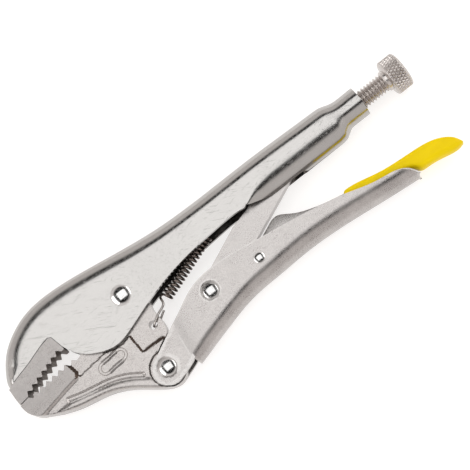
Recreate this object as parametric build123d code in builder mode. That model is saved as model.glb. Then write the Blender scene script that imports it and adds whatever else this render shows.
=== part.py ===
from build123d import *
import os
from math import cos, radians, sin

# Locking pliers, lying on one side with the jaws shut. Millimetres.
# The reference point is the middle of the bounding box, at its base.
# +X runs along the adjusting screw towards its knob, +Y from the lower handle to the upper one.
# Places are given from the axis of the jaw pivot, half widths from the tool's middle plane.

# ---- Driving dimensions ----
NOSE_X = -64.6
KNOB_END_X = 160.0
SPINE_TOP_Y = 22.6
HEEL_BOTTOM_Y = -47.0

HANDLE_PIVOT = (-2.9, -38.5)
HEEL_CENTRE = (-3.05, -39.4)
TOGGLE_PIVOT = (32.2, -23.45)
LEVER_PIVOT = (58.0, -25.85)
LINK_NOSE = (88.9, -0.5)
SPRING_HOLE = (3.1, -19.1)
SPRING_EAR_HOLE = (53.0, 1.5)

SHEET = 2.0
JAW_HALF = 5.25
UPPER_REAR_HALF = 7.75
CHEEK_HALF = 5.4
LOWER_MID_HALF = 6.3
LOWER_REAR_HALF = 7.0
PLATE_HALF = 4.4
FLANGE_HALF = 5.1
TONGUE_HALF = 2.95
HEEL_HALF = 2.55
LINK_HALF = 2.5
LEVER_HALF = 3.6
LEVER_SHEET = 1.2
SLEEVE_WALL = 0.7

TOOTH_PITCH = 3.55
TOOTH_DEPTH = 1.6
UPPER_TEETH = {"start": (-59.5, -10.15), "turn": 17.5, "count": 7, "depth": TOOTH_DEPTH}
LOWER_TEETH = {"start": (-59.7, -10.45), "turn": 4.0, "count": 8, "depth": -TOOTH_DEPTH}

SCREW_AXIS_Y = 3.1
SCREW_R = 4.4
BORE_R = 4.45
BARREL_R = 7.1
LINK_GAP = 2.6
BARREL_END_X = 136.0
THREAD_END_X = 149.6
COLLAR_R = 5.0
KNOB_START_X = 151.2
KNOB_R = 8.5
KNOB_CHAMFER = 1.2

PIVOT_SHANK_R = 3.0
TOGGLE_SHANK_R = 2.75
LEVER_SHANK_R = 1.75
RUNNING = 0.05
JAW_DOME = (4.75, 1.3)
DOME = (4.0, 1.1)
LEVER_DOME = (2.5, 0.7)
DIMPLE_R = 4.4
HEEL_DIMPLE = 0.6
TOGGLE_DIMPLE = 1.6

CHEEK_R = 7.15
CHEEK_WAY_R = 8.25
HEEL_R = HEEL_CENTRE[1] - HEEL_BOTTOM_Y
LINK_END_R = 5.4
NOSE_R = 5.2
COIL_R = 2.8
WIRE_R = 0.5
COIL_START = (15.0, -12.3)
COIL_END = (46.0, -1.75)

# ---- Derived ----
MID_HEIGHT = KNOB_R
JAW_PIVOT_X = -(NOSE_X + KNOB_END_X) / 2
JAW_PIVOT_Y = -(SPINE_TOP_Y + HEEL_BOTTOM_Y) / 2
SCREW_TIP_X = LINK_NOSE[0] + NOSE_R + LINK_GAP
FAR = 60.0


def layer(z=0.0):
    """Plane parallel to the tool's sides, z above its middle, with its origin on the jaw pivot."""
    return Plane((JAW_PIVOT_X, JAW_PIVOT_Y, MID_HEIGHT + z))


def across(x, y=0.0):
    """Plane square to the tool's length at x: its own x is the tool's +Y, its own y is +Z."""
    return Plane((JAW_PIVOT_X + x, JAW_PIVOT_Y + y, MID_HEIGHT), x_dir=(0, 1, 0), z_dir=(1, 0, 0))


def through(x, y):
    """Plane holding a pivot's axis: its own x is the tool's +X, its own y runs along the pivot."""
    return Plane((JAW_PIVOT_X + x, JAW_PIVOT_Y + y, MID_HEIGHT), x_dir=(1, 0, 0), z_dir=(0, -1, 0))


def section(x, half, top, bottom, top_r=0.0, bottom_r=0.0):
    """Box section of a channel at the length x, its corners rounded above, below or both."""
    with BuildSketch(across(x)) as outline:
        with Locations(((top + bottom) / 2, 0)):
            Rectangle(top - bottom, 2 * half)
        if top_r:
            fillet(outline.vertices().group_by(Axis.X)[-1], top_r)
        if bottom_r:
            fillet(outline.vertices().group_by(Axis.X)[0], bottom_r)
    return outline.sketch


def teeth(start, turn, count, depth):
    """Tips and roots of a row of teeth from start, the row turned by turn degrees."""
    along = Vector(cos(radians(turn)), sin(radians(turn)))
    into = Vector(-along.Y, along.X) * depth
    points = []
    for index in range(count):
        tip = Vector(*start) + along * TOOTH_PITCH * index
        root = tip + along * TOOTH_PITCH / 2 + into
        points += [(tip.X, tip.Y), (root.X, root.Y)]
    return points


def bore(centre, radius):
    """Cuts a round hole right through the part being built."""
    with BuildSketch(layer()) as hole:
        with Locations(centre):
            Circle(radius)
    extrude(hole.sketch, amount=FAR, both=True, mode=Mode.SUBTRACT)


def dimple(centre, half, depth):
    """Presses the sheet of both walls inwards round a rivet."""
    for side in (1, -1):
        with BuildSketch(layer(side * (half - SHEET - depth))) as boss:
            with Locations(centre):
                Circle(DIMPLE_R)
        extrude(boss.sketch, amount=side * (SHEET + depth))
        with BuildSketch(layer(side * (half - depth))) as cup:
            with Locations(centre):
                Circle(DIMPLE_R - 0.4)
        extrude(cup.sketch, amount=side * FAR, mode=Mode.SUBTRACT)


def rivet(centre, shank_r, grip, head):
    """Rivet with a plain shank and a low domed head on each side of the tool."""
    head_r, rise = head
    with BuildPart() as body:
        with BuildSketch(through(*centre)):
            with BuildLine():
                Line((0, -grip - rise), (0, grip + rise))
                TangentArc((0, grip + rise), (head_r, grip), tangent=(1, 0))
                Line((head_r, grip), (shank_r, grip))
                Line((shank_r, grip), (shank_r, -grip))
                Line((shank_r, -grip), (head_r, -grip))
                TangentArc((0, -grip - rise), (head_r, -grip), tangent=(1, 0))
            make_face()
        revolve(axis=Axis((JAW_PIVOT_X + centre[0], JAW_PIVOT_Y + centre[1], MID_HEIGHT), (0, 0, 1)))
    return body


def save(body, name):
    """Labels a finished piece and writes it as one STEP file."""
    body.part.label = name
    export_step(body.part, f"parts/{name}.step")


os.makedirs("parts", exist_ok=True)

# ---- Rivets ----
jaw_pivot_rivet = rivet((0, 0), PIVOT_SHANK_R, JAW_HALF, JAW_DOME)
save(jaw_pivot_rivet, "jaw_pivot_rivet")
handle_pivot_rivet = rivet(HANDLE_PIVOT, PIVOT_SHANK_R, CHEEK_HALF - HEEL_DIMPLE, DOME)
save(handle_pivot_rivet, "handle_pivot_rivet")
toggle_rivet = rivet(TOGGLE_PIVOT, TOGGLE_SHANK_R, LOWER_MID_HALF - TOGGLE_DIMPLE, DOME)
save(toggle_rivet, "toggle_rivet")
lever_rivet = rivet(LEVER_PIVOT, LEVER_SHANK_R, LOWER_REAR_HALF - 0.1, LEVER_DOME)
save(lever_rivet, "lever_rivet")

# ---- Upper handle: a channel open below that closes to a tube and a barrel at the rear ----
CROWN_FLAT = 0.4
BELOW = -30.0
CHANNEL_END_X = 81.0
TUBE_INSIDE_END_X = 119.0
SEAM_WIDTH = 1.2
EAR_HALF = 0.8
# Length, half width, height of the spine's crown
CHANNEL_STATIONS = [
    (NOSE_X, JAW_HALF, -0.4),
    (-62.6, JAW_HALF, 4.6),
    (-57.0, JAW_HALF, 12.2),
    (-49.0, JAW_HALF, 17.9),
    (-40.0, JAW_HALF, 21.4),
    (-26.7, JAW_HALF, SPINE_TOP_Y),
    (-10.0, JAW_HALF, 20.9),
    (10.0, 5.6, 17.6),
    (30.0, 7.3, 14.8),
    (45.0, UPPER_REAR_HALF, 13.9),
    (CHANNEL_END_X, UPPER_REAR_HALF, 13.6),
]
BARREL_START_X = 125.0
BARREL_SINK = 2.0
LINK_WAY_END_X = 97.0
REAR_ROUND = UPPER_REAR_HALF - CROWN_FLAT
# Length, half width, crown, underside, radius of the upper corners, radius of the lower corners
TUBE_STATIONS = [
    (CHANNEL_END_X, UPPER_REAR_HALF, 13.6, -6.9, REAR_ROUND, 2.5),
    (88.0, UPPER_REAR_HALF, 13.5, -7.2, REAR_ROUND, 4.5),
    (98.0, UPPER_REAR_HALF, 13.1, -7.2, REAR_ROUND, 6.8),
    (TUBE_INSIDE_END_X, UPPER_REAR_HALF, 12.3, -7.2, REAR_ROUND, 7.2),
    (BARREL_START_X + BARREL_SINK, BARREL_R, SCREW_AXIS_Y + BARREL_R, SCREW_AXIS_Y - BARREL_R,
     BARREL_R - 0.05, BARREL_R - 0.05),
]

with BuildPart() as channel_inside:
    for x, half, crown in CHANNEL_STATIONS:
        add(section(x, half - SHEET, crown - SHEET, BELOW, top_r=half - SHEET - CROWN_FLAT))
    loft()

with BuildPart() as tube_inside:
    for x, half, crown, under, top_r, bottom_r in TUBE_STATIONS[:-1]:
        add(section(x, half - SHEET, crown - SHEET, under + SHEET, top_r - SHEET, bottom_r - SHEET))
    loft()

with BuildPart() as tube:
    for station in TUBE_STATIONS:
        add(section(*station))
    loft()

with BuildPart() as upper_handle:
    for x, half, crown in CHANNEL_STATIONS:
        add(section(x, half, crown, BELOW, top_r=half - CROWN_FLAT))
    loft()
    with BuildSketch(layer()):
        with BuildLine():
            Spline((-33.0, -4.7), (-29.5, -9.6), (-24.0, -13.6), (-15.0, -16.5), (-5.0, -14.5), (10.0, -9.6),
                   (30.0, -5.5), (50.0, -3.8), (66.0, -4.1), (73.0, -5.7), (CHANNEL_END_X, -6.9))
            Polyline((CHANNEL_END_X, -6.9), (CHANNEL_END_X + 1, -6.9), (CHANNEL_END_X + 1, -FAR),
                     (NOSE_X - 1, -FAR), (NOSE_X - 1, -2.2), (-60.0, -0.6), (-51.0, 1.7), (-41.7, 4.7),
                     (-37.4, 5.6), (-35.8, 4.6), (-34.3, -1.7), (-33.0, -4.7))
        make_face()
    extrude(amount=FAR, both=True, mode=Mode.SUBTRACT)
    add(tube.part)
    add(channel_inside.part, mode=Mode.SUBTRACT)
    add(tube_inside.part, mode=Mode.SUBTRACT)
    # The link's way in, and the seam where the rolled edges meet
    with BuildSketch(across(CHANNEL_END_X)):
        with Locations((-9.0, 0)):
            Rectangle(16.0, 2 * (UPPER_REAR_HALF - SHEET))
    extrude(amount=LINK_WAY_END_X - CHANNEL_END_X, mode=Mode.SUBTRACT)
    with BuildSketch(across(LINK_WAY_END_X)):
        with Locations((-9.0, 0)):
            Rectangle(12.0, SEAM_WIDTH)
    extrude(amount=TUBE_INSIDE_END_X - LINK_WAY_END_X, mode=Mode.SUBTRACT)
    with BuildSketch(across(BARREL_START_X, SCREW_AXIS_Y)):
        Circle(BARREL_R)
    extrude(amount=BARREL_END_X - BARREL_START_X)
    with BuildSketch(across(TUBE_INSIDE_END_X - 1.0, SCREW_AXIS_Y)):
        Circle(BORE_R)
    extrude(amount=FAR, mode=Mode.SUBTRACT)
    with BuildSketch(layer()):
        with Locations((SPRING_EAR_HOLE[0], 6.0)):
            Rectangle(5.0, 13.0)
        with Locations(SPRING_EAR_HOLE):
            Circle(1.2, mode=Mode.SUBTRACT)
    extrude(amount=EAR_HALF, both=True)
    add(jaw_pivot_rivet.part, mode=Mode.SUBTRACT)
save(upper_handle, "upper_handle")

# ---- Fixed jaw: a toothed block under the channel's nose with a tongue up between its walls ----
with BuildPart() as fixed_jaw:
    with BuildSketch(layer()):
        with BuildLine():
            Polyline((NOSE_X + 0.8, -2.0), (-60.0, -0.6), (-51.0, 1.7), (-41.7, 4.7), (-37.4, 5.6), (-35.8, 4.6),
                     (-34.3, -1.7), (-34.3, -3.2), (-35.9, -3.4), *reversed(teeth(**UPPER_TEETH)),
                     (NOSE_X + 0.2, -10.8), (NOSE_X, -8.0), (NOSE_X, -3.2), (NOSE_X + 0.8, -2.0))
        make_face()
    extrude(amount=JAW_HALF, both=True)
    with BuildSketch(layer()):
        with BuildLine():
            Polyline((-59.0, -3.0), (-56.0, 5.0), (-51.0, 10.0), (-44.0, 13.0), (-36.0, 13.0), (-34.5, 6.0),
                     (-36.0, -2.0), (-59.0, -3.0))
        make_face()
    extrude(amount=JAW_HALF - SHEET - 0.05, both=True)
save(fixed_jaw, "fixed_jaw")

# ---- Lower jaw: toothed block, plate, tongue up into the channel, and a heel in the lower handle ----
LOWER_OUTLINE = [(-59.4, -20.7), (-53.0, -24.3), (-44.0, -27.7), (-35.0, -29.7), (-28.0, -31.8), (-20.0, -36.3)]
HEEL_START = (-9.4, -44.4)
SHOULDER = [(-36.0, -17.1), (-21.0, -15.7), (-17.0, -17.1), (-12.5, -17.5), (-8.1, -16.6)]

with BuildPart() as lower_jaw:
    # Plate, with its top edge stepped down below the shoulder line
    with BuildSketch(layer()):
        with BuildLine():
            Spline((NOSE_X, -11.3), (NOSE_X + 0.7, -15.5), (-62.3, -18.3), *LOWER_OUTLINE, HEEL_START)
            Polyline(HEEL_START, (2.0, -33.0), (3.6, -27.3), (3.0, -26.3), (-7.6, -25.9), *reversed(SHOULDER),
                     (-37.0, -14.0), (NOSE_X, -11.3))
        make_face()
    extrude(amount=PLATE_HALF, both=True)
    # Raised flange along the lower edge
    with BuildSketch(layer()):
        with BuildLine():
            Spline((-53.0, -24.3), *LOWER_OUTLINE[2:], HEEL_START)
            Line(HEEL_START, (-12.0, -37.4))
            Spline((-12.0, -37.4), (-21.7, -31.1), (-31.7, -27.6), (-46.0, -24.0))
            Line((-46.0, -24.0), (-53.0, -24.3))
        make_face()
    extrude(amount=FLANGE_HALF, both=True)
    # Room for the cheeks of the lower handle
    with BuildSketch(layer()):
        with Locations(HANDLE_PIVOT):
            Circle(CHEEK_WAY_R)
    extrude(amount=FAR, both=True, mode=Mode.SUBTRACT)
    with BuildSketch(layer()):
        with BuildLine():
            Polyline((-6.4, -30.7), (7.0, -25.1), (20.0, -30.0), (-2.9, -50.0), (-6.4, -30.7))
        make_face()
    extrude(amount=FAR, both=True, mode=Mode.SUBTRACT)
    # Tongue about the jaw pivot, reaching forward to the teeth and back to the spring tab
    with BuildSketch(layer()):
        with BuildLine():
            Polyline((-40.0, -16.0), (-37.0, -9.6), *teeth(**LOWER_TEETH)[13:], (-30.5, -9.4))
            Spline((-30.5, -9.4), (-25.0, -3.0), (-16.0, 3.0), (-9.5, 7.0))
            ThreePointArc((-9.5, 7.0), (1.0, 11.7), (11.0, 4.0))
            Spline((11.0, 4.0), (10.5, -4.0), (7.2, -12.0), (7.3, -18.0), (6.8, -24.0), (4.8, -27.5))
            Polyline((4.8, -27.5), (0.0, -35.0), (-9.0, -35.0), (-40.0, -16.0))
        make_face()
    extrude(amount=TONGUE_HALF, both=True)
    # Heel in the lower handle
    with BuildSketch(layer()):
        with Locations(HEEL_CENTRE):
            Circle(HEEL_R)
    extrude(amount=HEEL_HALF, both=True)
    for side in (1, -1):
        with BuildSketch(layer(side * HEEL_HALF)):
            with Locations(HEEL_CENTRE):
                Circle(HEEL_R)
        extrude(amount=side * FAR, mode=Mode.SUBTRACT)
    # Toothed block
    with BuildSketch(layer()):
        with BuildLine():
            Polyline((NOSE_X, -11.3), (NOSE_X + 0.4, -11.1), *teeth(**LOWER_TEETH)[:13], (-37.2, -9.2),
                     (-36.4, -15.6), (-38.3, -17.2), (-48.3, -18.3), (-59.4, -20.2), (-62.3, -18.3),
                     (NOSE_X + 0.7, -15.5), (NOSE_X, -11.3))
        make_face()
    extrude(amount=JAW_HALF, both=True)
    # Blank badge on both sides
    for side in (1, -1):
        with BuildSketch(layer(side * PLATE_HALF)):
            with Locations(Location((-20.5, -21.2, 0), (0, 0, 4))):
                SlotOverall(15.0, 6.2)
                SlotOverall(12.6, 3.8, mode=Mode.SUBTRACT)
        extrude(amount=side * 0.4)
    bore((0, 0), PIVOT_SHANK_R + RUNNING)
    bore(HANDLE_PIVOT, PIVOT_SHANK_R + RUNNING)
    bore(SPRING_HOLE, 2.0)
save(lower_jaw, "lower_jaw")

# ---- Lower handle: a channel open towards the upper handle, with flat cheeks round the heel ----
# Length, half width, crown of the spine
LOWER_STATIONS = [
    (9.5, 5.7, -45.6),
    (15.0, 6.0, -44.1),
    (22.0, LOWER_MID_HALF, -42.1),
    (30.0, LOWER_MID_HALF, -40.0),
    (40.0, LOWER_MID_HALF, -37.6),
    (50.0, 6.7, -36.3),
    (60.0, LOWER_REAR_HALF, -36.0),
    (75.0, LOWER_REAR_HALF, -35.5),
    (100.0, LOWER_REAR_HALF, -37.0),
    (120.0, LOWER_REAR_HALF, -39.4),
    (135.0, LOWER_REAR_HALF, -41.0),
]
ABOVE = 0.0

with BuildPart() as lower_inside:
    for x, half, crown in LOWER_STATIONS:
        add(section(x, half - SHEET, ABOVE, crown + SHEET, bottom_r=half - SHEET - CROWN_FLAT))
    loft()

with BuildPart() as lower_handle:
    for x, half, crown in LOWER_STATIONS:
        add(section(x, half, ABOVE, crown, bottom_r=half - CROWN_FLAT))
    loft()
    add(lower_inside.part, mode=Mode.SUBTRACT)
    # Cheeks
    with BuildSketch(layer()):
        with Locations(HEEL_CENTRE):
            Circle(CHEEK_R)
        with BuildLine():
            Polyline((-6.4, -33.1), (10.4, -24.2), (10.4, -41.9), (7.0, -43.5), (-0.6, -46.1), (-6.4, -33.1))
        make_face()
    extrude(amount=CHEEK_HALF, both=True)
    with BuildSketch(across(-15.0)):
        with Locations((-35.0, 0)):
            Rectangle(40.0, 2 * (CHEEK_HALF - SHEET))
    extrude(amount=27.0, mode=Mode.SUBTRACT)
    # Upper edge of the walls
    with BuildSketch(layer()):
        with BuildLine():
            Spline((6.0, -26.4), (15.0, -22.5), (25.0, -17.7), (37.0, -15.6), (50.0, -16.7), (73.0, -20.7),
                   (105.0, -27.4), (118.0, -31.2), (127.0, -33.0), (132.0, -35.6), (135.0, -40.2))
            Polyline((135.0, -40.2), (137.0, -40.2), (137.0, 1.0), (6.0, 1.0), (6.0, -26.4))
        make_face()
    extrude(amount=FAR, both=True, mode=Mode.SUBTRACT)
    dimple(HANDLE_PIVOT, CHEEK_HALF, HEEL_DIMPLE)
    dimple(TOGGLE_PIVOT, LOWER_MID_HALF, TOGGLE_DIMPLE)
    add([handle_pivot_rivet.part, toggle_rivet.part, lever_rivet.part], mode=Mode.SUBTRACT)
save(lower_handle, "lower_handle")

# ---- Toggle link: a flat bar from the lower handle to the end of the screw ----
with BuildPart() as toggle_link:
    with BuildSketch(layer()):
        with Locations(TOGGLE_PIVOT):
            Circle(LINK_END_R)
        with Locations(LINK_NOSE):
            Circle(NOSE_R)
        with BuildLine():
            Polyline((30.3, -18.4), (56.9, -6.6), (66.0, -4.4), (87.0, 4.35), (91.0, -5.25), (62.5, -17.4),
                     (34.0, -28.5), (30.3, -18.4))
        make_face()
    extrude(amount=LINK_HALF, both=True)
    fillet(toggle_link.edges().filter_by(GeomType.LINE).filter_by(Axis.Z, reverse=True), 0.4)
    bore(TOGGLE_PIVOT, TOGGLE_SHANK_R + RUNNING)
save(toggle_link, "toggle_link")

# ---- Release lever: a folded strip with a hump under the link and a long tail ----
with BuildPart() as release_lever:
    with BuildSketch(layer()):
        with BuildLine():
            Polyline((53.6, -24.0), (58.5, -20.9), (72.6, -14.9))
            Spline((72.6, -14.9), (75.0, -14.8), (80.0, -17.5), (88.0, -21.5), (105.0, -25.9), (130.0, -31.5),
                   (148.0, -35.5))
            Polyline((148.0, -35.5), (148.0, -37.4), (130.0, -33.9), (105.0, -29.6), (80.0, -28.2), (62.0, -29.6),
                     (55.0, -29.6), (53.6, -24.0))
        make_face()
    extrude(amount=LEVER_HALF, both=True)
    with BuildSketch(layer()):
        with BuildLine():
            Polyline((50.0, -25.4), (58.0, -22.4), (72.6, -16.2), (75.0, -16.1))
            Spline((75.0, -16.1), (80.0, -18.8), (88.0, -22.8), (105.0, -27.2), (130.0, -32.8), (150.0, -37.0))
            Polyline((150.0, -37.0), (150.0, -50.0), (50.0, -50.0), (50.0, -25.4))
        make_face()
    extrude(amount=LEVER_HALF - LEVER_SHEET, both=True, mode=Mode.SUBTRACT)
    bore(LEVER_PIVOT, LEVER_SHANK_R + RUNNING)
save(release_lever, "release_lever")

# ---- Sleeve over the tail of the release lever ----
with BuildPart() as lever_sleeve:
    with BuildSketch(layer()):
        with BuildLine():
            Spline((105.2, -24.7), (121.0, -27.8), (138.0, -29.9), (147.5, -31.1), (153.7, -33.5), (157.8, -37.2))
            ThreePointArc((157.8, -37.2), (159.3, -40.1), (157.4, -41.5))
            Spline((157.4, -41.5), (150.0, -40.6), (141.0, -39.2), (136.6, -38.6))
            Line((136.6, -38.6), (135.8, -36.9))
            Spline((135.8, -36.9), (130.0, -34.8), (118.0, -32.7), (105.0, -31.2))
            ThreePointArc((105.0, -31.2), (103.8, -28.0), (105.2, -24.7))
        make_face()
    extrude(amount=LEVER_HALF + SLEEVE_WALL, both=True)
    fillet(lever_sleeve.edges().group_by(Axis.Z)[0] + lever_sleeve.edges().group_by(Axis.Z)[-1], 0.8)
    add(release_lever.part, mode=Mode.SUBTRACT)
save(lever_sleeve, "lever_sleeve")

# ---- Adjusting screw, its collar and its knob ----
with BuildPart() as adjusting_screw:
    with BuildSketch(across(SCREW_TIP_X, SCREW_AXIS_Y)):
        Circle(SCREW_R)
    extrude(amount=THREAD_END_X - SCREW_TIP_X)
    chamfer(adjusting_screw.edges().group_by(Axis.X)[0], 0.8)
save(adjusting_screw, "adjusting_screw")

with BuildPart() as knob_collar:
    with BuildSketch(across(THREAD_END_X, SCREW_AXIS_Y)):
        Circle(COLLAR_R)
    extrude(amount=KNOB_START_X - THREAD_END_X)
    chamfer(knob_collar.edges().group_by(Axis.X)[0], 0.4)
save(knob_collar, "knob_collar")

with BuildPart() as screw_knob:
    with BuildSketch(across(KNOB_START_X, SCREW_AXIS_Y)):
        Circle(KNOB_R)
    extrude(amount=KNOB_END_X - KNOB_START_X)
    chamfer(screw_knob.edges().filter_by(GeomType.CIRCLE), KNOB_CHAMFER)
save(screw_knob, "screw_knob")

# ---- Tension spring: a coil with a hook at each end ----
FRONT_HOOK = [(15.9, -9.8, 0.0), (13.6, -10.6, 0.0), (13.4, -16.0, 1.8), (8.6, -17.6, 3.5), (3.3, -19.0, 3.5),
              (3.3, -19.1, -3.5), (9.5, -17.4, -3.5)]
REAR_HOOK = [(45.2, -4.2, 0.0), (47.6, -3.4, 0.0), (47.2, -0.4, 1.4), (53.0, 1.5, 1.4), (53.0, 1.5, -1.4),
             (50.0, 0.5, -1.4)]

coil_axis = Vector(COIL_END[0] - COIL_START[0], COIL_END[1] - COIL_START[1], 0)
coil_base = Vector(JAW_PIVOT_X + COIL_START[0], JAW_PIVOT_Y + COIL_START[1], MID_HEIGHT)

with BuildPart() as tension_spring:
    with BuildSketch(Plane(origin=coil_base, z_dir=coil_axis)):
        Circle(COIL_R)
        Circle(COIL_R - 2 * WIRE_R, mode=Mode.SUBTRACT)
    extrude(amount=coil_axis.length)
    for ends in (FRONT_HOOK, REAR_HOOK):
        with BuildLine(layer()) as hook:
            FilletPolyline(*ends, radius=0.9)
        with BuildSketch(Plane(origin=hook.line @ 0, z_dir=hook.line % 0)):
            Circle(WIRE_R)
        sweep(path=hook.line)
save(tension_spring, "tension_spring")
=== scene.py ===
import math

import bmesh
import bpy
import numpy as np
from mathutils import Matrix, Vector
from mathutils.geometry import delaunay_2d_cdt


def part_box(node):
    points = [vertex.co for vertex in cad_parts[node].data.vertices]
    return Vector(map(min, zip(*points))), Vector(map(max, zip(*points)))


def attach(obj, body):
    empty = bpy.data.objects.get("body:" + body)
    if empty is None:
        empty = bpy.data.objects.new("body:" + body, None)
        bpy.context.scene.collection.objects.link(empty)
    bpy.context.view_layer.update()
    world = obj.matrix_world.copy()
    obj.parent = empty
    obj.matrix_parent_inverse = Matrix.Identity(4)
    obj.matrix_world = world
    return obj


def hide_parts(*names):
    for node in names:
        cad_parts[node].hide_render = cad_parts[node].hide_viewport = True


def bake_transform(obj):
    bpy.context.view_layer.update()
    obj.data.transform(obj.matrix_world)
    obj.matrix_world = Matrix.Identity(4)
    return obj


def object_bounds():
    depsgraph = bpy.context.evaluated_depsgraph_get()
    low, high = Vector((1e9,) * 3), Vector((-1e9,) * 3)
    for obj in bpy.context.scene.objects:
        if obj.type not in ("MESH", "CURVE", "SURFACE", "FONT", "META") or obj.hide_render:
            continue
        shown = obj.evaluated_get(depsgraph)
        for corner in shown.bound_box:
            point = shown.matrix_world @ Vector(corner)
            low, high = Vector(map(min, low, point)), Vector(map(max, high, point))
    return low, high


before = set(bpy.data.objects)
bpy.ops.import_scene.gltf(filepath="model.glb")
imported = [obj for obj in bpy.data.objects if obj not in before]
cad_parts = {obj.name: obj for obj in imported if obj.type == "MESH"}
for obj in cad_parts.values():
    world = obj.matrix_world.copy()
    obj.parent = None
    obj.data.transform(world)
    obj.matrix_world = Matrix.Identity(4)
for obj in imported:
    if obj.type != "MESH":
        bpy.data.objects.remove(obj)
cad_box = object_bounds()

# ---- Places, all from the frame ----
# Outlines are millimetres from the axis of the jaw pivot, z from the tool's middle plane, as in the CAD.
MM = 0.001
SHEET = 2.0


def middle(node):
    """Centre of a CAD node's box."""
    low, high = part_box(node)
    return (low + high) / 2


ORIGIN = middle("jaw_pivot_rivet")


def place(node):
    """Centre of a CAD node in millimetres from the jaw pivot."""
    return tuple((middle(node) - ORIGIN) / MM)


def reach(node):
    """Lowest and highest corner of a CAD node in millimetres from the jaw pivot."""
    low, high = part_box(node)
    return (low - ORIGIN) / MM, (high - ORIGIN) / MM


HANDLE_PIVOT = place("handle_pivot_rivet")[:2]
TOGGLE_PIVOT = place("toggle_rivet")[:2]
SCREW_AXIS_Y = place("screw_knob")[1]
NOSE_X = reach("fixed_jaw")[0].x
SCREW_TIP_X = reach("adjusting_screw")[0].x
COLLAR_X = reach("knob_collar")[0].x
KNOB_X = reach("screw_knob")[0].x
KNOB_END_X = reach("screw_knob")[1].x
KNOB_R = (reach("screw_knob")[1].y - reach("screw_knob")[0].y) / 2
SCREW_R = (reach("adjusting_screw")[1].y - reach("adjusting_screw")[0].y) / 2
COLLAR_R = (reach("knob_collar")[1].y - reach("knob_collar")[0].y) / 2
LINK_NOSE = (88.9, -0.5)


# ---- Curves and meshes ----
def natural(t, values, s):
    """Values at s of the natural cubic spline through (t, values)."""
    t, values = np.asarray(t, float), np.asarray(values, float)
    gap = np.diff(t)
    bend = np.zeros(len(t))
    if len(t) > 2:
        slopes = np.diff(values) / gap
        matrix = np.diag(2 * (gap[:-1] + gap[1:])) + np.diag(gap[1:-1], 1) + np.diag(gap[1:-1], -1)
        bend[1:-1] = np.linalg.solve(matrix, 6 * np.diff(slopes))
    k = np.clip(np.searchsorted(t, s, side="right") - 1, 0, len(t) - 2)
    after, before, width = s - t[k], t[k + 1] - s, gap[k]
    cubic = (bend[k] * before**3 + bend[k + 1] * after**3) / (6 * width)
    left = (values[k] / width - bend[k] * width / 6) * before
    right = (values[k + 1] / width - bend[k + 1] * width / 6) * after
    return cubic + left + right


def lengths(points):
    """Distance along a line of points."""
    steps = np.linalg.norm(np.diff(points, axis=0), axis=1)
    return np.concatenate(([0.0], np.cumsum(steps)))


def curve(points, step=0.7):
    """A smooth curve through the points, sampled about every step."""
    points = np.array(points, float)
    t = lengths(points)
    s = np.linspace(0, t[-1], max(3, int(t[-1] / step) + 1))
    return np.stack([natural(t, column, s) for column in points.T], axis=1)


def straight(points, step=0.7):
    """Straight runs through the points, divided about every step, corners kept."""
    points = np.array(points, float)
    out = [points[:1]]
    for a, b in zip(points[:-1], points[1:]):
        count = max(1, int(np.linalg.norm(b - a) / step))
        out.append(a + (b - a) * (np.arange(1, count + 1) / count)[:, None])
    return np.concatenate(out)


def arc(centre, radius, start, end, step=0.7):
    """An arc from start to end degrees, anticlockwise when end is the larger."""
    count = max(3, int(abs(math.radians(end - start)) * radius / step))
    angles = np.radians(np.linspace(start, end, count + 1))
    return np.stack([centre[0] + radius * np.cos(angles), centre[1] + radius * np.sin(angles)], axis=1)


def ring(centre, radius, count=48):
    """A closed circle of points."""
    return arc(centre, radius, 0, 360, 2 * math.pi * radius / count)[:-1]


def smoothstep(x):
    """0 up to 0, 1 from 1 on, and a smooth rise between them."""
    x = np.clip(x, 0, 1)
    return x * x * (3 - 2 * x)


def tangents(path):
    """Unit direction at each point of a path."""
    way = np.gradient(path, axis=0)
    return way / np.linalg.norm(way, axis=1)[:, None]


def is_inside(points, loop):
    """Which points lie inside a closed loop."""
    points, loop = np.asarray(points), np.asarray(loop)
    result = np.zeros(len(points), bool)
    x, y = points[:, 0], points[:, 1]
    for (ax, ay), (bx, by) in zip(loop, np.roll(loop, -1, axis=0)):
        if ay != by:
            crosses = (ay > y) != (by > y)
            result ^= crosses & (x < (bx - ax) * (y - ay) / (by - ay) + ax)
    return result


def signed_distance(points, loop):
    """Distance of the points from a closed loop, negative inside it."""
    points, loop = np.asarray(points), np.asarray(loop)
    best = np.full(len(points), 1e9)
    for a, b in zip(loop, np.roll(loop, -1, axis=0)):
        run = b - a
        size = max(float(run @ run), 1e-12)
        t = np.clip((points - a) @ run / size, 0, 1)
        best = np.minimum(best, np.linalg.norm(points - a - t[:, None] * run, axis=1))
    return np.where(is_inside(points, loop), -best, best)


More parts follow.
